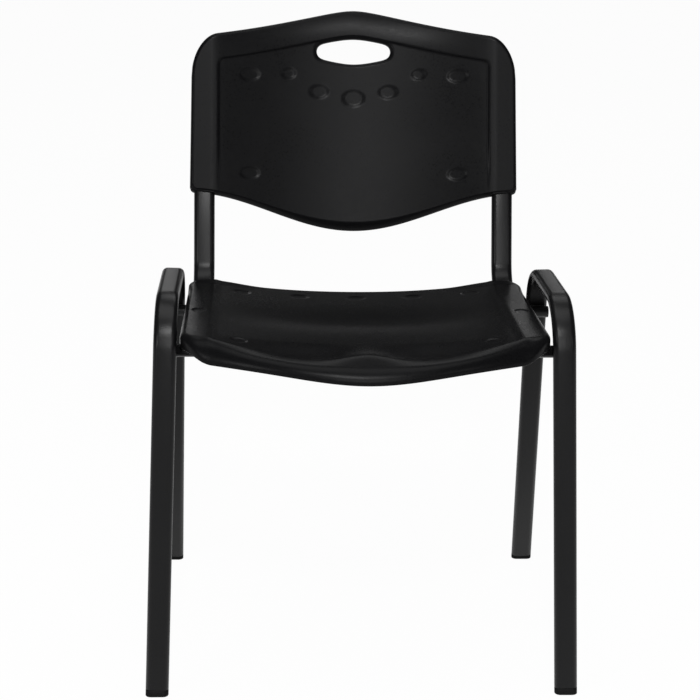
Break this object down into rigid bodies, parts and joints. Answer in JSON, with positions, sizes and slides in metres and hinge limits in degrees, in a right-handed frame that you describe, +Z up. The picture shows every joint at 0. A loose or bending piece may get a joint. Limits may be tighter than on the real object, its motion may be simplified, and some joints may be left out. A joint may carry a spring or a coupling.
{
  "type": "choir chair",
  "caption": "Stacking choir chair with flat oval tube side frames, a moulded seat with thigh hollows and a pommel, and a moulded backrest with a gabled crown and a hand hole.",
  "frame": {"origin": "on the floor, under the middle of the chair's bounding box", "axes": "the chair faces -Y, +X is to the right when the chair is seen from the front, +Z is up"},
  "size_m": [0.566, 0.5952, 0.8229],
  "materials": {
    "black_powder_coat": "semi-gloss black powder coat",
    "black_polypropylene": "satin black with a fine moulded texture",
    "black_cap_plastic": "dull black",
    "zinc_plated_steel": "zinc plated, slightly satin"
  },
  "bodies": {
    "root": {"seat_shell": "black_polypropylene", "backrest_shell": "black_polypropylene", "left_side_frame": "black_powder_coat", "right_side_frame": "black_powder_coat", "left_back_tube": "black_powder_coat", "right_back_tube": "black_powder_coat", "front_cross_tube": "black_powder_coat", "rear_cross_tube": "black_powder_coat", "frame_welds": "black_powder_coat", "left_front_foot": "black_cap_plastic", "right_front_foot": "black_cap_plastic", "left_rear_foot": "black_cap_plastic", "right_rear_foot": "black_cap_plastic", "left_tube_plug": "black_cap_plastic", "right_tube_plug": "black_cap_plastic", "seat_screws": "zinc_plated_steel", "backrest_screws": "zinc_plated_steel"}
  },
  "joints": []
}
